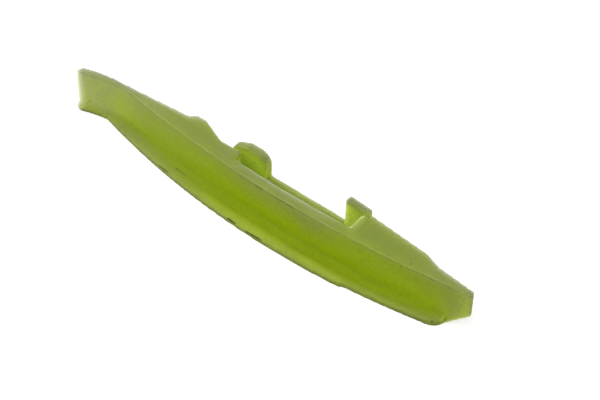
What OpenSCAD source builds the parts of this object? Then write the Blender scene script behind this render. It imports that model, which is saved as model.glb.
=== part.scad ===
// Timing chain guide, moulded in one piece from unfilled nylon.
// It lies on the side that carries the chain flange. X runs along the guide from the hollow lip to the
// thin tip, the chain runs on the bowed face that looks towards -Y, and the back with its bracket
// pocket looks towards +Y. The origin is under the middle of the guide. Sizes are in millimetres.

/* [Running face] */
// Overall length, lip to tip
guide_l = 122.6; // [117:0.2:130]
// Width of the guide across the chain
guide_w = 14; // [12:0.5:18]
// Radius of the bowed running face
bow_r = 320; // [280:10:380]
// Distance from the lip's end to the crown of the bow
crown_x = 76.3; // [74:0.1:79]
// Thickness of the running plate in front of the pocket
plate_t = 3; // [2.2:0.1:3.6]

/* [Lead-in lip] */
// Radius of the hollow lip that wraps the sprocket
lip_r = 36; // [30:1:42]
// Distance from the lip's end to where the hollow meets the bow
lip_l = 19.3; // [17.5:0.1:21]
// Thickness of the lip
lip_t = 1.6; // [1.3:0.1:2.4]
// Lean of the lip's end, in degrees
lip_lean = 18; // [4:1:24]
// Reach of the ledge along the foot of the lip
lip_ledge = 0.8; // [0.5:0.1:1.4]
// Slant of the ledge's end, in degrees
ledge_slant = 40; // [25:1:50]
// Radius of the lip's lower corner
lip_corner_r = 1.4; // [0.6:0.1:2.4]

/* [Chain flange] */
// Reach of the flange in front of the crown
flange_reach = 4.8; // [4.1:0.1:5.5]
// Thickness of the flange
flange_t = 1.6; // [1.2:0.1:2.4]
// Radius of the flange's front edge
flange_r = 225; // [205:5:245]
// Distance of the flange's middle before the crown
flange_lead = 3; // [0:0.5:5]
// Distance of the step in the flange's front edge past the crown
flange_step_x = 14; // [8:1:20]
// Depth of that step
flange_step = 0.6; // [0.3:0.1:1.2]
// Distance of the flange's rounded nose from the tip
flange_gap = 6; // [4.4:0.2:8]
// Radius of that nose
flange_nose_r = 4; // [2.5:0.5:5]
// Fillet between the running face and the flange
root_r = 2.4; // [1.2:0.2:3.2]

/* [Bracket pocket] */
// Length of the pocket
pocket_l = 35.7; // [33:0.1:38]
// Distance of the pocket's first wall before the crown
pocket_lead = 24.5; // [22:0.5:27]
// Clear width of the pocket at its middle, from the plate to the line of the round tab
pocket_w = 5.7; // [5:0.1:6.5]
// Height of the pocket's floor
floor_h = 5.4; // [4:0.2:7]
// Length of the floor beyond the round tab
floor_over = 2.2; // [1:0.1:3]
// Radius of the floor's back corners
floor_r = 1.6; // [0.8:0.2:2]
// Slant of the pocket's back to the line from lip to tip, in degrees
pocket_slant = 1.4; // [0:0.2:2.4]

/* [Clip tabs] */
// Thickness of the round tab
round_tab_t = 2.6; // [1.8:0.1:3.2]
// Height of the round tab above the pocket's floor
round_tab_h = 7.7; // [7:0.1:9]
// Length of the round tab
round_tab_l = 11; // [10:0.2:12]
// Distance of the round tab's start before the pocket
round_tab_lead = 4.9; // [3.8:0.1:5.8]
// Radius of the round tab's far corner
round_tab_r = 3.7; // [2:0.1:4.2]
// Length of the ramp on the round tab's near corner
ramp_l = 4.6; // [3.4:0.2:5.4]
// Fall of that ramp
ramp_h = 2.3; // [1.5:0.1:3.2]
// Thickness of the square tab
square_tab_t = 2; // [1.6:0.1:2.6]
// Height of the square tab above the pocket's floor, at its far end
square_tab_h = 8.9; // [7.6:0.1:10]
// Rise of the square tab's top towards the middle of the pocket
square_tab_rise = 0.8; // [0:0.1:1.2]
// Length of the square tab
square_tab_l = 7; // [6.2:0.1:8]
// Distance of the square tab's start before the pocket's end
square_tab_lead = 5.5; // [5:0.1:6]
// Corner radius of the square tab
square_tab_r = 0.7; // [0.4:0.1:1.4]

/* [Back of the lip end] */
// Distance from the middle of the locating nub to the pocket
nub_gap = 15.3; // [14:0.1:17]
// Width of the nub across its top
nub_w = 3.4; // [2.4:0.2:4.4]
// Height of the nub
nub_h = 1.4; // [0.8:0.1:2]
// Thickness of the guide at the foot of the nub
nub_t = 5.7; // [5.2:0.1:6.4]
// Thickness of the guide at the shoulder beside the pocket
shoulder_t = 5.9; // [5:0.1:6.6]
// Length of that shoulder
shoulder_l = 6.8; // [6:0.1:8]

/* [Back of the tip end] */
// Thickness of the guide beside the pocket
block_t = 9.6; // [9:0.1:10.2]
// Radius of the block's corner at the pocket
block_r = 2.6; // [1.6:0.2:3.6]
// Distance from the step in the back to the tip
step_gap = 15.6; // [14:0.2:18]
// Thickness of the guide at the top of the step
step_t = 6.2; // [5.8:0.1:7]
// Length of the step
step_l = 4.5; // [3:0.5:6]
// Fall of the step
step_fall = 1.7; // [0.8:0.1:2]
// Thickness of the tip
tip_t = 1.3; // [1.1:0.1:2]
// Length of the corner cut off below the tip
cut_l = 6; // [4:0.2:8]
// Height of the corner cut off below the tip
cut_h = 6; // [4:0.2:8.6]
// Radius of the soft corners along the back
back_r = 1.4; // [0.6:0.1:2]

/* [Hidden] */
$fn = 96;
// Facets of a full turn of the long arcs
arc_fn = 720;
// Facets of each soft corner along the back
corner_steps = 6;
// Overlap of solids that grow into each other
bond = 1;
// Reach of cutting shapes past the guide
past = 40;
// Bite of one arc into the next, which leaves a clean edge where they meet
meld = 0.06;
// Overlap of two arcs along the guide
lap = 4;

// Depth behind the crown of a point on the running face
function bow_y(x) = bow_r - sqrt(pow(bow_r, 2) - pow(x - crown_x, 2));

// Point on the back where the guide is t thick
function back_at(x, t) = [x, bow_y(x) + t];

// Centre of the hollow lip, in line with the bow's centre and the point where the two arcs meet
bow_c = [crown_x, bow_r];
lip_meet = [lip_l, bow_y(lip_l)];
lip_c = lip_meet + (lip_meet - bow_c) * (lip_r - meld) / bow_r;
// Top of the lip's back, where the straight back starts
lip_top = lip_c + [0, lip_r + lip_t];
lip_turn = lip_meet - lip_c;
lip_a0 = atan2(lip_turn.y, lip_turn.x);
lip_a1 = 90 + asin(lip_c.x / lip_r);
// Foremost point of the lip's end, a little in front of the hollow face
lip_end = [0, lip_c.y + sqrt(pow(lip_r - lip_ledge / 3, 2) - pow(lip_c.x, 2))];
bow_a0 = lip_a0 - 180 - asin(lap / bow_r);
bow_a1 = -90 + asin((guide_l - crown_x) / bow_r);

pocket_x0 = crown_x - pocket_lead;
pocket_x1 = pocket_x0 + pocket_l;
tab_back = plate_t + pocket_w + round_tab_t;
round_tab_x = pocket_x0 - round_tab_lead;
square_tab_x = pocket_x1 - square_tab_lead;
nub_x0 = pocket_x0 - nub_gap - nub_w / 2;
nub_x1 = nub_x0 + nub_w;
nub_foot = back_at(nub_x0 - nub_h, nub_t);
shoulder = back_at(pocket_x0, shoulder_t);
step_x = guide_l - step_gap;
step_foot = back_at(step_x, step_t) + [step_l, -step_fall];
flange_c = [crown_x - flange_lead, flange_r - flange_reach];

// Arc of radius r in the corner b of the path a-b-c, shortened where a side is too short for it
function corner_arc(a, b, c, r) =
    let (u = (a - b) / norm(a - b), v = (c - b) / norm(c - b), half = acos(u * v) / 2)
    let (run = min(r / tan(half), 0.5 * norm(a - b), 0.5 * norm(c - b)), true_r = run * tan(half))
    let (o = b + (u + v) / norm(u + v) * true_r / sin(half))
    let (s = b + u * run - o, e = b + v * run - o)
    let (start = atan2(s.y, s.x), turn = atan2(s.x * e.y - s.y * e.x, s * e))
    [for (i = [0:corner_steps]) let (angle = start + turn * i / corner_steps)
        o + true_r * [cos(angle), sin(angle)]];

// Outline through [point, corner radius] pairs
function soft_outline(corners) =
    let (n = len(corners))
    [for (i = [0:n - 1]) let (before = corners[(i + n - 1) % n][0], after = corners[(i + 1) % n][0])
        each corners[i][1] == 0 ? [corners[i][0]] : corner_arc(before, corners[i][0], after, corners[i][1])];

// All that lies between two distances from the lip's end
module span(x0, x1) {
    translate([x0, -past]) square([x1 - x0, 2 * past]);
}

module bow_disc(inset = 0) {
    translate(bow_c) circle(r = bow_r - inset, $fn = arc_fn);
}

module lip_disc(r) {
    translate(lip_c) circle(r = r, $fn = arc_fn);
}

// Hollow lip in plan: an even wall as far as the top of its back, then under the straight back
module lip_plan() {
    difference() {
        union() {
            intersection() {
                lip_disc(lip_r + lip_t);
                translate([-lap, lip_c.y]) square([lip_top.x + 1.5 * lap, past]);
            }
            intersection() {
                lip_end_plan();
                span(0, lip_l);
            }
        }
        lip_disc(lip_r);
    }
}

// Back of the lip end: a straight rise, the locating nub and the shoulder beside the pocket
module lip_end_plan() {
    under = lip_top - (nub_foot - lip_top) * lap / (nub_foot.x - lip_top.x);
    polygon(soft_outline([
        [[under.x, -past], 0],
        [under, 0],
        [nub_foot, back_r],
        [[nub_x0, nub_foot.y + nub_h], back_r],
        [[nub_x1, nub_foot.y + nub_h], back_r],
        [shoulder - [shoulder_l, 0], 2 * back_r],
        [shoulder, back_r / 2],
        [[pocket_x0, -past], 0],
    ]));
}

// Back of the tip end: a round corner at the pocket, a long taper, a step and the thin tip
module tip_end_plan() {
    polygon(soft_outline([
        [[pocket_x1, -past], 0],
        [back_at(pocket_x1, block_t), block_r],
        [back_at(step_x, step_t), back_r],
        [step_foot, back_r],
        [back_at(guide_l, tip_t), back_r / 2],
        [[guide_l, -past], 0],
    ]));
}

// Everything that is as wide as the guide
module body_plan() {
    lip_plan();
    intersection() {
        bow_disc();
        span(lip_l - lap, guide_l);
        union() {
            lip_end_plan();
            tip_end_plan();
            difference() {
                span(pocket_x0 - bond, pocket_x1 + bond);
                bow_disc(plate_t);
            }
        }
    }
}

// Front edge of the flange: a long arc with a step back, ending in a round nose
module flange_edge_plan() {
    tail_r = flange_r - flange_step;
    nose_turn = tail_r - flange_nose_r;
    nose_x = guide_l - flange_gap - flange_nose_r;
    nose = [nose_x, flange_c.y - sqrt(pow(nose_turn, 2) - pow(nose_x - flange_c.x, 2))];
    touch = flange_c + (nose - flange_c) * tail_r / nose_turn;
    intersection() {
        translate(flange_c) circle(r = flange_r, $fn = arc_fn);
        span(-lap, crown_x + flange_step_x);
    }
    intersection() {
        translate(flange_c) circle(r = tail_r, $fn = arc_fn);
        span(crown_x + flange_step_x - bond, touch.x);
    }
    translate(nose) circle(r = flange_nose_r + meld);
    translate(nose) square([flange_nose_r + meld, past]);
}

// Flange in plan, from its front edge into the middle of the wall behind it
module flange_plan() {
    difference() {
        intersection() {
            flange_edge_plan();
            span(lip_l, guide_l);
        }
        bow_disc(plate_t / 2);
    }
    intersection() {
        union() {
            flange_edge_plan();
            difference() {
                translate([-lap, lip_c.y]) square(past);
                lip_disc(lip_r - lip_ledge);
            }
        }
        lip_disc(lip_r + lip_t / 2);
        span(-lap, lip_l);
    }
}

// Section of the fillet in the corner at the origin, which stands on the flange and grows into the wall
module root_section() {
    difference() {
        translate([-bond, 0]) square([root_r + bond, root_r]);
        translate([root_r - meld, root_r - meld]) circle(r = root_r);
    }
}

// Fillet that follows the running face along the bow
module bow_fillet() {
    intersection() {
        linear_extrude(flange_t + root_r + bond) flange_plan();
        translate([bow_c.x, bow_c.y, flange_t]) rotate(bow_a0)
            rotate_extrude(angle = bow_a1 - bow_a0, $fn = arc_fn)
                translate([bow_r, 0]) root_section();
    }
}

// Fillet that follows the running face round the hollow lip
module lip_fillet() {
    intersection() {
        linear_extrude(flange_t + root_r + bond) flange_plan();
        translate([lip_c.x, lip_c.y, flange_t]) rotate(lip_a0)
            rotate_extrude(angle = lip_a1 - lip_a0 + lap, $fn = arc_fn)
                translate([lip_r, 0]) mirror([1, 0]) root_section();
    }
}

// Turns what stands on the pocket's back edge to that edge's slant, about the middle of the pocket
module along_pocket() {
    middle = [pocket_x0 + pocket_l / 2, tab_back];
    translate(middle) rotate(-pocket_slant) translate(-middle) children();
}

// Floor of the pocket in plan, from the middle of the running plate to the backs of the tabs
module floor_plan() {
    intersection() {
        bow_disc(plate_t / 2);
        along_pocket() polygon(soft_outline([
            [[round_tab_x - floor_over, -past], 0],
            [[round_tab_x - floor_over, tab_back], floor_r],
            [[square_tab_x + square_tab_l, tab_back], floor_r],
            [[square_tab_x + square_tab_l, -past], 0],
        ]));
    }
}

// Upright clip tab on the back edge of the floor, given its upper corners as [point, radius]
module clip_tab(x, l, t, corners) {
    along_pocket() translate([x, tab_back]) rotate([90, 0, 0]) linear_extrude(t)
        polygon(soft_outline(concat([[[0, 0], 0]], corners, [[[l, 0], 0]])));
}

// Tab with a ramp on the corner that meets the bracket first
module round_tab() {
    top = floor_h + round_tab_h;
    clip_tab(round_tab_x, round_tab_l, round_tab_t, [
        [[0, top - ramp_h], back_r],
        [[ramp_l, top], back_r],
        [[round_tab_l, top], round_tab_r],
    ]);
}

module square_tab() {
    top = floor_h + square_tab_h;
    clip_tab(square_tab_x, square_tab_l, square_tab_t, [
        [[0, top + square_tab_rise], square_tab_r],
        [[square_tab_l, top], square_tab_r],
    ]);
}

// Wedge that takes the lower corner off the tip
module tip_cut() {
    slant = [cut_l, cut_h];
    low = [guide_l - cut_l, 0] - slant / 2;
    high = [guide_l, cut_h] + slant / 2;
    rotate([90, 0, 0]) linear_extrude(2 * past, center = true) polygon([low, [high.x, low.y], high]);
}

// Two leaning planes that end the lip and the ledge at its foot
module lip_end_cut() {
    for (turn = [-lip_lean, ledge_slant])
        translate([lip_end.x, lip_end.y, -bond]) rotate(turn) translate([-past, -past])
            cube([past, 2 * past, guide_w + 2 * bond]);
}

// Rounds the lower corner of the lip's end
module lip_cut() {
    rotate([90, 0, 0]) linear_extrude(2 * past, center = true) difference() {
        square(lip_corner_r * 2, center = true);
        translate([lip_corner_r - meld, lip_corner_r - meld]) circle(r = lip_corner_r);
    }
}

module guide_rail() {
    color("#95a845") translate([-guide_l / 2, (flange_reach - tab_back) / 2, 0]) difference() {
        union() {
            linear_extrude(guide_w) body_plan();
            linear_extrude(flange_t) flange_plan();
            linear_extrude(floor_h) floor_plan();
            bow_fillet();
            lip_fillet();
            round_tab();
            square_tab();
        }
        tip_cut();
        lip_cut();
        lip_end_cut();
    }
}

guide_rail();
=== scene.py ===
"""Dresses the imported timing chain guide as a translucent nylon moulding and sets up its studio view."""
import logging
import math
from dataclasses import dataclass, field
from enum import Enum
from typing import Any, Dict, List, Optional, Sequence, Tuple

import bpy
from mathutils import Matrix, Vector

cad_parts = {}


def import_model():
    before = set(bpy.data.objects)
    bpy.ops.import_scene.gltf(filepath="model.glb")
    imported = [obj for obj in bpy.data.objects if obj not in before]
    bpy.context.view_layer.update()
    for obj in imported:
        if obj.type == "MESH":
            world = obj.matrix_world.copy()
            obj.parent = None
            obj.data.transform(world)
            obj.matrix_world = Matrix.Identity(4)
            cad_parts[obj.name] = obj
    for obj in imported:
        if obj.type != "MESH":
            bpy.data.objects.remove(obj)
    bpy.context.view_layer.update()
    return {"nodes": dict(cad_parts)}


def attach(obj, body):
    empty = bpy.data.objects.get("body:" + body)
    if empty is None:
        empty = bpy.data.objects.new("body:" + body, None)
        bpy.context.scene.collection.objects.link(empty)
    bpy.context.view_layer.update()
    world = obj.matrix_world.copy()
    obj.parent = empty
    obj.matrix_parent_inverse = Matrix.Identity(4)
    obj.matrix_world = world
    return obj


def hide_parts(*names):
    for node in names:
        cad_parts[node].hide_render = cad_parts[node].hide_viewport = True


LOG = logging.getLogger("chain_guide")

MM = 0.001
IMAGE_WIDTH_PX = 600
NOISE_MEAN = 0.5
SHARE_ATTRIBUTE = "plastic_share"
WALL_ATTRIBUTE = "wall_share"
EDGE_ATTRIBUTE = "edge_share"
UPWARD_ATTRIBUTE = "facing_up"
WHITE = (1.0, 1.0, 1.0, 1.0)

Point = Tuple[float, float, float]
Colour = Tuple[float, float, float, float]
Span = Tuple[float, float]
Tree = bpy.types.NodeTree
Socket = bpy.types.NodeSocket


def srgb(code: str) -> Colour:
    """Turns an sRGB hex value into a linear colour.

    Args:
        code: Six hex digits, with or without a leading hash.

    Returns:
        Linear red, green, blue and an alpha of 1.
    """
    digits = code.lstrip("#")
    channels = [int(digits[i:i + 2], 16) / 255.0 for i in (0, 2, 4)]
    linear = [c / 12.92 if c <= 0.04045 else ((c + 0.055) / 1.055) ** 2.4 for c in channels]
    return (linear[0], linear[1], linear[2], 1.0)


def add_node(
    tree: Tree,
    kind: str,
    inputs: Optional[Dict[Any, Any]] = None,
    **settings: Any,
) -> bpy.types.Node:
    """Adds a node with its settings, values and links.

    Args:
        tree: Node tree that takes the node.
        kind: The node's Blender type name.
        inputs: Socket name or number to a value, or to an output socket that is linked to it.
        **settings: Properties of the node, set before its sockets.

    Returns:
        The new node.
    """
    node = tree.nodes.new(kind)
    for name, value in settings.items():
        setattr(node, name, value)
    for key, value in (inputs or {}).items():
        socket = node.inputs[key]
        if isinstance(value, Socket):
            tree.links.new(value, socket)
        else:
            socket.default_value = value
    return node


def calculate(tree: Tree, operation: str, *values: Any, clamp: bool = False) -> Socket:
    """Adds a sum on plain numbers.

    Args:
        tree: Node tree that takes the node.
        operation: The operation's Blender name.
        *values: Numbers or sockets, in the operation's order.
        clamp: Whether the result is held between 0 and 1.

    Returns:
        The result.
    """
    inputs = dict(enumerate(values))
    return add_node(tree, "ShaderNodeMath", inputs, operation=operation, use_clamp=clamp).outputs[0]


def on_vectors(tree: Tree, operation: str, inputs: Dict[Any, Any]) -> Any:
    """Adds a sum on vectors.

    Args:
        tree: Node tree that takes the node.
        operation: The operation's Blender name.
        inputs: Socket name or number to a value or socket.

    Returns:
        The node's outputs, of which Vector or Value holds the result.
    """
    return add_node(tree, "ShaderNodeVectorMath", inputs, operation=operation).outputs


def spread(tree: Tree, value: Socket, span: Span, result: Span = (0.0, 1.0)) -> Socket:
    """Maps one span of values evenly to another and holds it at both ends.

    Args:
        tree: Node tree that takes the node.
        value: Value to map.
        span: Values at the two ends. The first may be the larger one.
        result: Results at the two ends.

    Returns:
        The mapped value.
    """
    inputs = {
        "Value": value,
        "From Min": span[0],
        "From Max": span[1],
        "To Min": result[0],
        "To Max": result[1],
    }
    return add_node(tree, "ShaderNodeMapRange", inputs).outputs[0]


def blend(tree: Tree, share: Socket, under: Socket, over: Colour) -> Socket:
    """Covers a colour with a share of another.

    Args:
        tree: Node tree that takes the node.
        share: Share of the upper colour.
        under: The lower colour.
        over: The upper colour.

    Returns:
        The mixed colour.
    """
    return add_node(tree, "ShaderNodeMix", {0: share, 6: under, 7: over}, data_type="RGBA").outputs[2]


def stored(tree: Tree, name: str) -> Socket:
    """Reads a value that the piece's own mesh stores.

    Args:
        tree: Node tree that takes the node.
        name: Name of the attribute.

    Returns:
        The value.
    """
    node = add_node(tree, "ShaderNodeAttribute", attribute_type="GEOMETRY", attribute_name=name)
    return node.outputs["Fac"]


def fill_ramp(node: bpy.types.Node, stops: Sequence[Tuple[float, Colour]]) -> None:
    """Sets the stops of a colour ramp.

    Args:
        node: Colour ramp node.
        stops: Positions and linear colours, in order.
    """
    elements = node.color_ramp.elements
    while len(elements) > len(stops):
        elements.remove(elements[-1])
    while len(elements) < len(stops):
        elements.new(1.0)
    for element, (position, colour) in zip(elements, stops):
        element.position = position
        element.color = colour


def seen_directly(tree: Tree) -> Socket:
    """Value that is 1 for camera, glossy and transmission rays.

    Args:
        tree: Node tree that takes the nodes.

    Returns:
        The value.
    """
    path = add_node(tree, "ShaderNodeLightPath").outputs
    shiny = calculate(tree, "MAXIMUM", path["Is Glossy Ray"], path["Is Transmission Ray"])
    return calculate(tree, "MAXIMUM", path["Is Camera Ray"], shiny)


class Soil(Enum):
    """How dense a mark of soil is, from a faint smear to a caked line."""

    TRACE = 0.22
    FAINT = 0.5
    PLAIN = 0.75
    CAKED = 0.95


@dataclass(frozen=True)
class SoilMark:
    """A streak or speck of engine soil on the nylon, in millimetres in the part's frame."""

    start: Point
    end: Point
    width: float
    soil: Soil


def soil_line(points: Sequence[Point], width: float, soil: Soil) -> Tuple[SoilMark, ...]:
    """Streaks that join points one after the other.

    Args:
        points: Places in millimetres.
        width: Reach of the soil on either side, in millimetres.
        soil: Density.

    Returns:
        One streak for each pair of neighbours.
    """
    return tuple(SoilMark(start, end, width, soil) for start, end in zip(points[:-1], points[1:]))


def soil_speck(place: Point, width: float, soil: Soil) -> Tuple[SoilMark, ...]:
    """A single speck of soil.

    Args:
        place: Place in millimetres.
        width: Reach of the soil, in millimetres.
        soil: Density.

    Returns:
        The speck, as a streak of no length.
    """
    return (SoilMark(place, place, width, soil),)


# Points along the running face, just below its edge on the open side.
EDGE_LINE: Sequence[Point] = (
    (-57.0, 1.45, 13.5),
    (-50.0, 2.46, 13.5),
    (-44.0, 2.23, 13.5),
    (-38.0, 1.17, 13.5),
    (-30.0, -0.06, 13.5),
    (-20.0, -1.32, 13.5),
    (-10.0, -2.27, 13.5),
    (0.0, -2.9, 13.5),
    (10.0, -3.2, 13.5),
    (20.0, -3.2, 13.5),
    (30.0, -2.89, 13.5),
    (40.0, -2.27, 13.5),
    (50.0, -1.33, 13.5),
    (58.0, -0.34, 13.5),
)

# A faint darker line along the whole top edge of the running face, darker pieces of it, streaks on the
# flange, and specks.
GUIDE_DARK_MARKS: Sequence[SoilMark] = (
    # Darker along the whole top edge of the running face, drawn in the soil colour.
    *soil_line(EDGE_LINE, 0.28, Soil.TRACE),
    *soil_line(((-5.0, -2.62, 13.2), (-0.4, -2.87, 13.3)), 0.2, Soil.FAINT),
    *soil_line(((-0.4, -2.87, 13.3), (1.8, -2.97, 13.4)), 0.22, Soil.CAKED),
    *soil_line(((1.8, -2.97, 13.4), (7.8, -3.16, 13.45)), 0.2, Soil.PLAIN),
    *soil_line(((7.8, -3.16, 13.45), (11.8, -3.23, 13.5)), 0.22, Soil.CAKED),
    *soil_line(((-30.7, -3.9, 1.55), (-27.3, -4.35, 1.6)), 0.28, Soil.CAKED),
    *soil_line(((-26.4, -2.1, 1.68), (-23.2, -2.5, 1.7)), 0.24, Soil.FAINT),
    *soil_line(((-5.6, -7.35, 1.5), (-3.2, -7.48, 1.4)), 0.4, Soil.CAKED),
    *soil_line(((0.6, -7.77, 1.2), (5.4, -7.9, 1.55)), 0.3, Soil.CAKED),
    *soil_speck((-10.7, -6.89, 1.2), 0.3, Soil.PLAIN),
    *soil_speck((42.6, -2.05, 12.9), 0.32, Soil.PLAIN),
    *soil_speck((44.4, -0.66, 14.0), 0.3, Soil.PLAIN),
    *soil_speck((59.8, -0.1, 12.3), 0.3, Soil.PLAIN),
    *soil_speck((53.3, -3.26, 1.6), 0.4, Soil.CAKED),
    *soil_speck((-58.0, 1.2, 3.8), 0.3, Soil.PLAIN),
    *soil_speck((28.8, -7.41, 1.6), 0.35, Soil.PLAIN),
)


@dataclass(frozen=True)
class NylonFinish:
    """Moulded translucent nylon 6/6, tinted lime green.

    Nylon is cloudy: light goes some millimetres in and comes out again, so thick places look deep and
    saturated and thin edges look pale and greyish, and the colour paints this in too. The skin has only a
    faint gloss. Painted shade darkens the nylon towards the open side and on the edges, a painted glow
    lightens the hollows, and a painted sheen lies pale on faces that look up.
    """

    name: str = "moulded_nylon_66_lime"
    # Colour by the share of plastic in the wide ball around a place: the nylon's lime tint, with painted
    # translucency, deep where the plastic is thick and pale where it is thin.
    tones: Sequence[Tuple[float, str]] = (
        (0.08, "#89923c"),
        (0.14, "#89962e"),
        (0.18, "#828f32"),
        (0.22, "#889922"),
        (0.26, "#8a9d12"),
        (0.29, "#8aa006"),
        (0.32, "#8da602"),
        (0.37, "#8ba500"),
        (0.47, "#8da800"),
    )
    # Size of the clouds and flecks, and how far they shift the share.
    cloud_mm: float = 6.0
    cloud_shift: float = 0.04
    fleck_mm: float = 0.5
    fleck_shift: float = 0.03
    # Painted glow in hollows, a painted light that brightens the pockets, by the wide ball's share less
    # this much of the narrow ball's.
    painted_hollow_glow: str = "#bed63c"
    painted_glow_wall: float = 0.8
    painted_glow_span: Span = (0.02, 0.075)
    # Painted shade, darker towards the open side by height and along edges by the share of plastic in the
    # smallest ball.
    painted_shade: str = "#505524"
    painted_shade_top: float = 0.36
    painted_shade_height_mm: float = 15.0
    painted_shade_edge: float = 0.8
    painted_shade_edge_span: Span = (0.44, 0.24)
    painted_shade_mottle: float = 0.8
    # Painted sheen, a pale painted reflection of the light above, by how far a face looks up, where the
    # plastic is thin or high, and towards the lip.
    painted_sheen: str = "#91986e"
    painted_sheen_most: float = 0.34
    painted_sheen_facing: Span = (0.1, 0.9)
    painted_sheen_thin: Span = (0.3, 0.21)
    painted_sheen_high: float = 0.75
    painted_sheen_high_mm: Span = (2.2, 5.0)
    painted_sheen_lip: float = 0.09
    painted_sheen_lip_mm: Span = (-8.0, -42.0)
    # Soil, with the share of its width that is fully covered, its ragged grain and its dullness.
    soil: str = "#15160a"
    soil_core: float = 0.3
    soil_grain_mm: float = 0.7
    soil_ragged: Span = (0.3, 0.48)
    soil_dull: float = 0.35
    # Moulded skin.
    grain_mm: float = 0.35
    grain_depth_mm: float = 0.03
    grain_strength: float = 0.25
    ior: float = 1.53
    specular: float = 0.04
    roughness: float = 0.42
    roughness_swing: float = 0.07
    patch_mm: float = 3.0
    patch_span: Span = (0.3, 0.7)
    glow_mm: float = 11.0

    def material(self, marks: Sequence[SoilMark]) -> bpy.types.Material:
        """Builds the nylon's material.

        Args:
            marks: Streaks and specks of soil to draw on it.

        Returns:
            The material.
        """
        material = bpy.data.materials.new(self.name)
        material.use_nodes = True
        tree = material.node_tree
        tree.nodes.clear()
        metres = add_node(tree, "ShaderNodeTexCoord").outputs["Object"]
        place = on_vectors(tree, "SCALE", {0: metres, "Scale": 1.0 / MM})["Vector"]
        colour = self._tint(tree, place)
        soiled = self._soiled(tree, place, marks)
        shader = add_node(
            tree,
            "ShaderNodeBsdfPrincipled",
            {
                "Base Color": blend(tree, soiled, colour, srgb(self.soil)),
                "Roughness": self._gloss(tree, place, soiled),
                "IOR": self.ior,
                "Specular IOR Level": self.specular,
                "Subsurface Weight": 1.0,
                "Subsurface Radius": (1.0, 1.0, 1.0),
                "Subsurface Scale": self.glow_mm * MM,
                "Normal": self._skin(tree, place),
            },
        )
        add_node(tree, "ShaderNodeOutputMaterial", {"Surface": shader.outputs["BSDF"]})
        return material

    def _tint(self, tree: Tree, place: Socket) -> Socket:
        """Colour of the nylon by the share of plastic, painted deeper where thick and paler where thin,
        with faint clouds, a painted glow in hollows, painted shade and a painted sheen.

        Args:
            tree: The material's node tree.
            place: Object coordinates in millimetres.

        Returns:
            The colour.
        """
        share = stored(tree, SHARE_ATTRIBUTE)
        cloud = add_node(
            tree,
            "ShaderNodeTexNoise",
            {"Vector": place, "Scale": 1.0 / self.cloud_mm, "Detail": 3.0, "Roughness": 0.6},
        ).outputs["Fac"]
        fleck = add_node(
            tree,
            "ShaderNodeTexNoise",
            {"Vector": place, "Scale": 1.0 / self.fleck_mm, "Detail": 2.0, "Roughness": 0.6},
        ).outputs["Fac"]
        clouded = calculate(tree, "MULTIPLY_ADD", cloud, self.cloud_shift, share)
        flecked = calculate(tree, "MULTIPLY_ADD", fleck, self.fleck_shift, clouded)
        # The mean of both noises is taken off again.
        mean_shift = NOISE_MEAN * (self.cloud_shift + self.fleck_shift)
        least = self.tones[0][0]
        most = self.tones[-1][0]
        step = spread(tree, flecked, (least + mean_shift, most + mean_shift))
        ramp = add_node(tree, "ShaderNodeValToRGB", {"Fac": step})
        fill_ramp(ramp, [((at - least) / (most - least), srgb(code)) for at, code in self.tones])
        # Painted glow: the hollows are lightened as though light came out of their walls.
        glow_painted = blend(tree, self._painted_hollow_glow(tree, share), ramp.outputs["Color"], srgb(self.painted_hollow_glow))
        # Painted shade: darker towards the open side and along thin edges.
        shade_painted = blend(tree, self._painted_shade(tree, place, fleck), glow_painted, srgb(self.painted_shade))
        # Painted sheen: paler on faces that look up, as a reflection of the light above.
        return blend(tree, self._painted_sheen(tree, place, share), shade_painted, srgb(self.painted_sheen))

    def _painted_hollow_glow(self, tree: Tree, share: Socket) -> Socket:
        """How far a place lies in a hollow, where a painted glow stands in for light that comes out of the
        walls all round.

        Args:
            tree: The material's node tree.
            share: Share of plastic in the wide ball.

        Returns:
            Value from 0 to 1.
        """
        wall = stored(tree, WALL_ATTRIBUTE)
        beyond = calculate(tree, "MULTIPLY_ADD", wall, -self.painted_glow_wall, share)
        return spread(tree, beyond, self.painted_glow_span)

    def _painted_shade(self, tree: Tree, place: Socket, fleck: Socket) -> Socket:
        """Share of the painted shade, which darkens the nylon towards the open side and along the edges.

        Args:
            tree: The material's node tree.
            place: Object coordinates in millimetres.
            fleck: Fine noise that mottles the painted shade.

        Returns:
            Value from 0 to 1.
        """
        height = add_node(tree, "ShaderNodeSeparateXYZ", {0: place}).outputs["Z"]
        upper = spread(tree, height, (0.0, self.painted_shade_height_mm), (0.0, self.painted_shade_top))
        rim = spread(tree, stored(tree, EDGE_ATTRIBUTE), self.painted_shade_edge_span, (0.0, self.painted_shade_edge))
        even = calculate(tree, "ADD", upper, rim)
        spots = calculate(tree, "MULTIPLY_ADD", fleck, self.painted_shade_mottle, -NOISE_MEAN * self.painted_shade_mottle)
        return calculate(tree, "ADD", even, spots, clamp=True)

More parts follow.
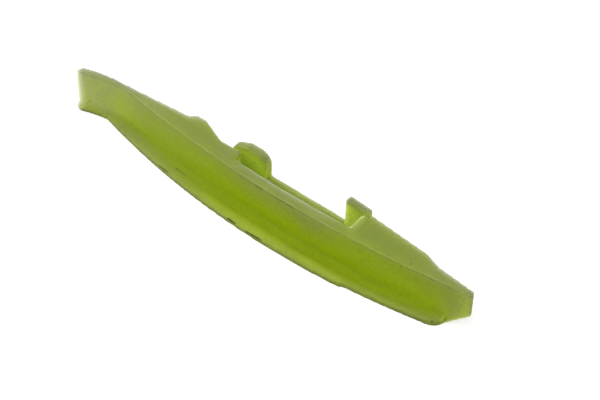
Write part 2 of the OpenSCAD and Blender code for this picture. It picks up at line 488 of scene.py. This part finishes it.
    def _painted_sheen(self, tree: Tree, place: Socket, share: Socket) -> Socket:
        """Share of the pale painted sheen on faces that look up and towards the lip.

        Args:
            tree: The material's node tree.
            place: Object coordinates in millimetres.
            share: Share of plastic in the wide ball.

        Returns:
            Value from 0 to 1.
        """
        sheen_up_facing = spread(tree, stored(tree, UPWARD_ATTRIBUTE), self.painted_sheen_facing, (0.0, self.painted_sheen_most))
        thin = spread(tree, share, self.painted_sheen_thin)
        split = add_node(tree, "ShaderNodeSeparateXYZ", {0: place}).outputs
        high = spread(tree, split["Z"], self.painted_sheen_high_mm, (0.0, self.painted_sheen_high))
        shown = calculate(tree, "MAXIMUM", high, thin)
        lip = spread(tree, split["X"], self.painted_sheen_lip_mm, (0.0, self.painted_sheen_lip))
        return calculate(tree, "MULTIPLY_ADD", sheen_up_facing, shown, lip)

    def _soiled(self, tree: Tree, place: Socket, marks: Sequence[SoilMark]) -> Socket:
        """Share of the surface that soil covers, broken up by grain.

        Args:
            tree: The material's node tree.
            place: Object coordinates in millimetres.
            marks: Streaks and specks of soil.

        Returns:
            Value from 0 to 1.
        """
        grain = add_node(
            tree,
            "ShaderNodeTexNoise",
            {"Vector": place, "Scale": 1.0 / self.soil_grain_mm, "Detail": 3.0, "Roughness": 0.7},
        ).outputs["Fac"]
        ragged = spread(tree, grain, self.soil_ragged)
        total: Any = 0.0
        for mark in marks:
            off = self._distance(tree, place, mark)
            cover = spread(tree, off, (mark.width, self.soil_core * mark.width), (0.0, mark.soil.value))
            total = calculate(tree, "MAXIMUM", cover, total)
        return calculate(tree, "MULTIPLY", total, ragged)

    def _distance(self, tree: Tree, place: Socket, mark: SoilMark) -> Socket:
        """Distance of a place from the middle line of a mark.

        Args:
            tree: The material's node tree.
            place: Object coordinates in millimetres.
            mark: Streak or speck.

        Returns:
            Distance in millimetres.
        """
        along = Vector(mark.end) - Vector(mark.start)
        # A speck has no length, and this least length keeps its direction defined.
        length = max(along.length, 0.001)
        aim = along / length
        reach = on_vectors(tree, "SUBTRACT", {0: place, 1: mark.start})["Vector"]
        run = on_vectors(tree, "DOT_PRODUCT", {0: reach, 1: aim})["Value"]
        held = add_node(tree, "ShaderNodeClamp", {"Value": run, "Min": 0.0, "Max": length}).outputs[0]
        foot = on_vectors(tree, "SCALE", {0: aim, "Scale": held})["Vector"]
        return on_vectors(tree, "DISTANCE", {0: reach, 1: foot})["Value"]

    def _gloss(self, tree: Tree, place: Socket, soiled: Socket) -> Socket:
        """Roughness of the moulded skin, a little uneven and dull where it is soiled.

        Args:
            tree: The material's node tree.
            place: Object coordinates in millimetres.
            soiled: Share of soil.

        Returns:
            The roughness.
        """
        patch = add_node(
            tree,
            "ShaderNodeTexNoise",
            {"Vector": place, "Scale": 1.0 / self.patch_mm, "Detail": 5.0},
        ).outputs["Fac"]
        ends = (self.roughness - self.roughness_swing, self.roughness + self.roughness_swing)
        uneven = spread(tree, patch, self.patch_span, ends)
        return calculate(tree, "MULTIPLY_ADD", soiled, self.soil_dull, uneven)

    def _skin(self, tree: Tree, place: Socket) -> Socket:
        """Fine grain of the moulded skin as a bump.

        Args:
            tree: The material's node tree.
            place: Object coordinates in millimetres.

        Returns:
            The normal.
        """
        grain = add_node(
            tree,
            "ShaderNodeTexNoise",
            {"Vector": place, "Scale": 1.0 / self.grain_mm, "Detail": 2.0},
        ).outputs["Fac"]
        return add_node(
            tree,
            "ShaderNodeBump",
            {"Height": grain, "Strength": self.grain_strength, "Distance": self.grain_depth_mm * MM},
        ).outputs["Normal"]


@dataclass(frozen=True)
class PaperFinish:
    """Matt white studio paper. It looks white to the camera and still takes a faint shadow."""

    name: str = "white_studio_paper"
    colour: str = "#f4f4f2"
    lift: float = 0.35

    def material(self) -> bpy.types.Material:
        """Builds the paper's material.

        Returns:
            The material.
        """
        material = bpy.data.materials.new(self.name)
        material.use_nodes = True
        tree = material.node_tree
        tree.nodes.clear()
        paper = add_node(tree, "ShaderNodeBsdfDiffuse", {"Color": srgb(self.colour)}).outputs[0]
        lift = add_node(tree, "ShaderNodeEmission", {"Color": WHITE, "Strength": self.lift}).outputs[0]
        lifted = add_node(tree, "ShaderNodeAddShader", {0: paper, 1: lift}).outputs[0]
        seen = add_node(tree, "ShaderNodeMixShader", {0: seen_directly(tree), 1: paper, 2: lifted})
        add_node(tree, "ShaderNodeOutputMaterial", {"Surface": seen.outputs[0]})
        return material


@dataclass
class MouldedSkin:
    """Geometry Nodes tree that softens a meshed solid and measures the plastic around its surface."""

    soften: int = 2
    soften_weight: float = 0.6
    ripple_mm: float = 0.05
    ripple_size_mm: float = 7.0
    reach_mm: float = 16.0
    blur: int = 60
    wall_reach_mm: float = 8.0
    edge_reach_mm: float = 2.5
    edge_blur: int = 4
    facing_blur: int = 70
    ray_lift_mm: float = 0.05
    seed: float = 3.0

    def apply(self, piece: bpy.types.Object, nylon: bpy.types.Material) -> None:
        """Runs the tree on a piece and leaves a plain mesh.

        Args:
            piece: Object that takes the skin.
            nylon: Material of the skin.
        """
        settings = self._settings(nylon)
        tree = self._tree(settings)
        modifier = piece.modifiers.new("moulded_skin", "NODES")
        modifier.node_group = tree
        for item in tree.interface.items_tree:
            if item.in_out == "INPUT" and item.name in settings:
                modifier[item.identifier] = settings[item.name][1]
        settle(piece)

    def _settings(self, nylon: bpy.types.Material) -> Dict[str, Tuple[str, Any]]:
        """Named inputs of the tree.

        Args:
            nylon: Material of the skin.

        Returns:
            Socket type and value by name.
        """
        return {
            "Soften": ("NodeSocketInt", self.soften),
            "Ripple Height": ("NodeSocketFloat", self.ripple_mm * MM),
            "Ripple Size": ("NodeSocketFloat", self.ripple_size_mm * MM),
            "Reach": ("NodeSocketFloat", self.reach_mm * MM),
            "Blur": ("NodeSocketInt", self.blur),
            "Wall Reach": ("NodeSocketFloat", self.wall_reach_mm * MM),
            "Edge Reach": ("NodeSocketFloat", self.edge_reach_mm * MM),
            "Edge Blur": ("NodeSocketInt", self.edge_blur),
            "Facing Blur": ("NodeSocketInt", self.facing_blur),
            "Seed": ("NodeSocketFloat", self.seed),
            "Nylon": ("NodeSocketMaterial", nylon),
        }

    def _tree(self, settings: Dict[str, Tuple[str, Any]]) -> bpy.types.GeometryNodeTree:
        """Builds the node tree with its named inputs.

        Args:
            settings: Socket type and value by name.

        Returns:
            The node tree.
        """
        tree = bpy.data.node_groups.new("moulded_skin", "GeometryNodeTree")
        tree.interface.new_socket("Geometry", in_out="INPUT", socket_type="NodeSocketGeometry")
        for name, (kind, _) in settings.items():
            tree.interface.new_socket(name, in_out="INPUT", socket_type=kind)
        tree.interface.new_socket("Geometry", in_out="OUTPUT", socket_type="NodeSocketGeometry")
        given = add_node(tree, "NodeGroupInput").outputs
        skin = self._softened(tree, given)
        skin = self._measured(tree, skin, given["Reach"], given["Blur"], SHARE_ATTRIBUTE)
        skin = self._measured(tree, skin, given["Wall Reach"], given["Blur"], WALL_ATTRIBUTE)
        skin = self._measured(tree, skin, given["Edge Reach"], given["Edge Blur"], EDGE_ATTRIBUTE)
        skin = self._faced(tree, skin, given["Facing Blur"])
        smooth = add_node(tree, "GeometryNodeSetShadeSmooth", {"Geometry": skin})
        real = add_node(tree, "GeometryNodeRealizeInstances", {"Geometry": smooth.outputs[0]})
        dressed = add_node(
            tree,
            "GeometryNodeSetMaterial",
            {"Geometry": real.outputs[0], "Material": given["Nylon"]},
        )
        add_node(tree, "NodeGroupOutput", {"Geometry": dressed.outputs[0]})
        return tree

    def _softened(self, tree: Tree, given: Any) -> Socket:
        """Rounds the edges and lets the flat faces sink and swell a little, as cooled plastic does.

        Args:
            tree: The node tree.
            given: The tree's inputs.

        Returns:
            The softened geometry.
        """
        place = add_node(tree, "GeometryNodeInputPosition").outputs[0]
        soft = add_node(
            tree,
            "GeometryNodeBlurAttribute",
            {"Value": place, "Iterations": given["Soften"], "Weight": self.soften_weight},
            data_type="FLOAT_VECTOR",
        )
        rounded = add_node(
            tree,
            "GeometryNodeSetPosition",
            {"Geometry": given["Geometry"], "Position": soft.outputs[0]},
        )
        waves = calculate(tree, "DIVIDE", 1.0, given["Ripple Size"])
        noise = add_node(
            tree,
            "ShaderNodeTexNoise",
            {"Vector": place, "W": given["Seed"], "Scale": waves, "Detail": 1.0},
            noise_dimensions="4D",
        )
        swing = calculate(tree, "SUBTRACT", noise.outputs[0], NOISE_MEAN)
        height = calculate(tree, "MULTIPLY", swing, given["Ripple Height"])
        normal = add_node(tree, "GeometryNodeInputNormal").outputs[0]
        offset = on_vectors(tree, "SCALE", {0: normal, "Scale": height})["Vector"]
        return add_node(
            tree,
            "GeometryNodeSetPosition",
            {"Geometry": rounded.outputs[0], "Offset": offset},
        ).outputs[0]

    def _measured(self, tree: Tree, skin: Socket, reach: Socket, blur: Socket, attribute: str) -> Socket:
        """Stores the share of plastic in the ball around each point, estimated by rays in many directions.

        Args:
            tree: The node tree.
            skin: The softened geometry.
            reach: Radius of the ball.
            blur: How often the share is evened out with its neighbours.
            attribute: Name that the share is stored under.

        Returns:
            The geometry with the share.
        """
        place = add_node(tree, "GeometryNodeInputPosition").outputs[0]
        normal = add_node(tree, "GeometryNodeInputNormal").outputs[0]
        directions = self._directions()
        total: Any = 0.0
        for aim in directions:
            out = on_vectors(tree, "DOT_PRODUCT", {0: normal, 1: aim})["Value"]
            side = calculate(tree, "SIGN", out)
            lift = calculate(tree, "MULTIPLY", side, self.ray_lift_mm * MM)
            start = on_vectors(tree, "MULTIPLY_ADD", {0: normal, 1: lift, 2: place})["Vector"]
            ray = add_node(
                tree,
                "GeometryNodeRaycast",
                {
                    "Target Geometry": skin,
                    "Source Position": start,
                    "Ray Direction": aim,
                    "Ray Length": reach,
                },
            )
            near = add_node(
                tree,
                "GeometryNodeSwitch",
                {"Switch": ray.outputs["Is Hit"], "False": reach, "True": ray.outputs["Hit Distance"]},
                input_type="FLOAT",
            ).outputs[0]
            beyond = calculate(tree, "SUBTRACT", reach, near)
            outward = add_node(
                tree,
                "FunctionNodeCompare",
                {"A": out, "B": 0.0},
                data_type="FLOAT",
                operation="GREATER_THAN",
            )
            run = add_node(
                tree,
                "GeometryNodeSwitch",
                {"Switch": outward.outputs[0], "False": near, "True": beyond},
                input_type="FLOAT",
            )
            total = calculate(tree, "ADD", run.outputs[0], total)
        whole = calculate(tree, "MULTIPLY", reach, float(len(directions)))
        return self._kept(tree, skin, calculate(tree, "DIVIDE", total, whole), blur, attribute)

    def _faced(self, tree: Tree, skin: Socket, blur: Socket) -> Socket:
        """Stores how far the skin looks up, evened out over the edges.

        Args:
            tree: The node tree.
            skin: The softened geometry.
            blur: How often the value is evened out with its neighbours.

        Returns:
            The geometry with the value.
        """
        normal = add_node(tree, "GeometryNodeInputNormal").outputs[0]
        upward = add_node(tree, "ShaderNodeSeparateXYZ", {0: normal}).outputs["Z"]
        return self._kept(tree, skin, upward, blur, UPWARD_ATTRIBUTE)

    def _kept(self, tree: Tree, skin: Socket, value: Socket, blur: Socket, attribute: str) -> Socket:
        """Evens out a value over the skin and stores it.

        Args:
            tree: The node tree.
            skin: The geometry.
            value: Value at each point.
            blur: How often the value is evened out with its neighbours.
            attribute: Name that the value is stored under.

        Returns:
            The geometry with the value.
        """
        even = add_node(
            tree,
            "GeometryNodeBlurAttribute",
            {"Value": value, "Iterations": blur, "Weight": 1.0},
            data_type="FLOAT",
        )
        return add_node(
            tree,
            "GeometryNodeStoreNamedAttribute",
            {"Geometry": skin, "Name": attribute, "Value": even.outputs[0]},
            data_type="FLOAT",
            domain="POINT",
        ).outputs[0]

    def _directions(self) -> List[Point]:
        """Directions to the faces, edges and corners of a cube.

        Returns:
            Directions of length 1.
        """
        steps = (-1.0, 0.0, 1.0)
        aims = [Vector((x, y, z)) for x in steps for y in steps for z in steps]
        # The cube's middle has no direction and is left out.
        return [tuple(aim.normalized()) for aim in aims if aim.length > 0.0]


def settle(piece: bpy.types.Object) -> None:
    """Turns a piece's modifiers into its plain mesh.

    Args:
        piece: Object whose modifiers are run and removed.
    """
    bpy.context.view_layer.update()
    graph = bpy.context.evaluated_depsgraph_get()
    mesh = bpy.data.meshes.new_from_object(piece.evaluated_get(graph), depsgraph=graph)
    piece.modifiers.clear()
    piece.data = mesh


@dataclass
class GuideRail:
    """The guide itself: one nylon moulding."""

    node: str = "guide_rail"
    body: str = "root"
    slot: str = "nylon"
    piece_name: str = "guide_rail_moulding"
    weld_mm: float = 0.002
    voxel_mm: float = 0.28
    skin: MouldedSkin = field(default_factory=MouldedSkin)
    finish: NylonFinish = field(default_factory=NylonFinish)
    marks: Sequence[SoilMark] = GUIDE_DARK_MARKS

    def build(self, source: bpy.types.Object) -> bpy.types.Object:
        """Makes an even, closed mesh of the solid.

        Args:
            source: The CAD node.

        Returns:
            The new piece.
        """
        mesh = source.data.copy()
        mesh.name = self.piece_name
        mesh.materials.clear()
        piece = bpy.data.objects.new(self.piece_name, mesh)
        bpy.context.scene.collection.objects.link(piece)
        weld = piece.modifiers.new("weld", "WELD")
        weld.merge_threshold = self.weld_mm * MM
        even = piece.modifiers.new("even", "REMESH")
        even.mode = "VOXEL"
        even.voxel_size = self.voxel_mm * MM
        settle(piece)
        return piece

    def dress(self, piece: bpy.types.Object) -> None:
        """Gives the piece its skin and finish, and ties it to the frame.

        Args:
            piece: The even mesh.
        """
        self.skin.apply(piece, self.finish.material(self.marks))
        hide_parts(self.node)
        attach(piece, self.body)


def on_sphere(azimuth: float, elevation: float) -> Vector:
    """Direction from the guide towards a place around it.

    Args:
        azimuth: Degrees to the right of the running side.
        elevation: Degrees above the floor.

    Returns:
        Direction of length 1.
    """
    turn = math.radians(azimuth)
    rise = math.radians(elevation)
    return Vector((math.sin(turn) * math.cos(rise), -math.cos(turn) * math.cos(rise), math.sin(rise)))


@dataclass(frozen=True)
class SoftPanel:
    """A square, soft lamp aimed at the guide."""

    name: str
    azimuth: float
    elevation: float
    power: float
    distance: float = 0.74
    size: float = 0.5

    def build(self) -> None:
        """Makes the lamp."""
        lamp = bpy.data.lights.new(self.name, "AREA")
        lamp.energy = self.power
        lamp.size = self.size
        panel = bpy.data.objects.new(self.name, lamp)
        aim = on_sphere(self.azimuth, self.elevation)
        panel.location = self.distance * aim
        panel.rotation_euler = (-aim).to_track_quat("-Z", "Y").to_euler()
        bpy.context.scene.collection.objects.link(panel)


@dataclass
class Studio:
    """White paper in a light tent, with soft panels at both ends of the guide and one above its front."""

    floor_size: float = 3.0
    floor_drop_mm: float = 0.05
    sky: float = 0.3
    paper: PaperFinish = field(default_factory=PaperFinish)
    panels: Sequence[SoftPanel] = (
        SoftPanel("left_panel", -80.0, 32.0, 4.4),
        SoftPanel("right_panel", 80.0, 32.0, 2.8),
        SoftPanel("overhead_panel", 0.0, 62.0, 1.8),
    )

    def build(self) -> None:
        """Makes the floor."""
        half = self.floor_size / 2.0
        drop = -self.floor_drop_mm * MM
        corners = [(-half, -half, drop), (half, -half, drop), (half, half, drop), (-half, half, drop)]
        mesh = bpy.data.meshes.new("studio_floor")
        mesh.from_pydata(corners, [], [(0, 1, 2, 3)])
        mesh.materials.append(self.paper.material())
        floor = bpy.data.objects.new("studio_floor", mesh)
        bpy.context.scene.collection.objects.link(floor)

    def light(self) -> None:
        """Sets the tent's even light and the soft panels."""
        world = bpy.data.worlds.new("light_tent")
        bpy.context.scene.world = world
        world.use_nodes = True
        tree = world.node_tree
        tree.nodes.clear()
        lit = add_node(tree, "ShaderNodeBackground", {"Color": WHITE, "Strength": self.sky}).outputs[0]
        seen = add_node(tree, "ShaderNodeBackground", {"Color": WHITE, "Strength": 1.0}).outputs[0]
        mixed = add_node(tree, "ShaderNodeMixShader", {0: seen_directly(tree), 1: lit, 2: seen})
        add_node(tree, "ShaderNodeOutputWorld", {"Surface": mixed.outputs[0]})
        for panel in self.panels:
            panel.build()


@dataclass
class PhotoCamera:
    """Camera at the photograph's viewing angle."""

    azimuth: float = 35.2
    elevation: float = 48.0
    roll: float = 2.0
    distance_mm: float = 471.4
    focal_px: float = 1900.0
    target_mm: Point = (7.89, 4.67, 7.03)
    sensor_mm: float = 36.0
    clip: Span = (0.01, 20.0)

    def build(self) -> None:
        """Makes the camera and sets it as the scene's."""
        back = on_sphere(self.azimuth, self.elevation)
        lens = bpy.data.cameras.new("photo_camera")
        lens.sensor_fit = "HORIZONTAL"
        lens.sensor_width = self.sensor_mm
        lens.lens = self.focal_px / IMAGE_WIDTH_PX * self.sensor_mm
        lens.clip_start = self.clip[0]
        lens.clip_end = self.clip[1]
        camera = bpy.data.objects.new("photo_camera", lens)
        place = Matrix.Translation((Vector(self.target_mm) + self.distance_mm * back) * MM)
        level = (-back).to_track_quat("-Z", "Y").to_matrix().to_4x4()
        tilt = Matrix.Rotation(math.radians(self.roll), 4, "Z")
        camera.matrix_world = place @ level @ tilt
        bpy.context.scene.collection.objects.link(camera)
        bpy.context.scene.camera = camera


def main() -> None:
    """Loads the frame, dresses the guide and sets up the studio."""
    logging.basicConfig(level=logging.INFO, format="%(name)s: %(message)s")
    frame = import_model()
    bpy.context.scene.view_settings.view_transform = "Standard"
    PhotoCamera().build()
    studio = Studio()
    studio.build()
    studio.light()
    guide = GuideRail()
    piece = guide.build(frame["nodes"][guide.node])
    guide.dress(piece)
    LOG.info("%s: %d faces", piece.name, len(piece.data.polygons))


if __name__ == "__main__":
    main()
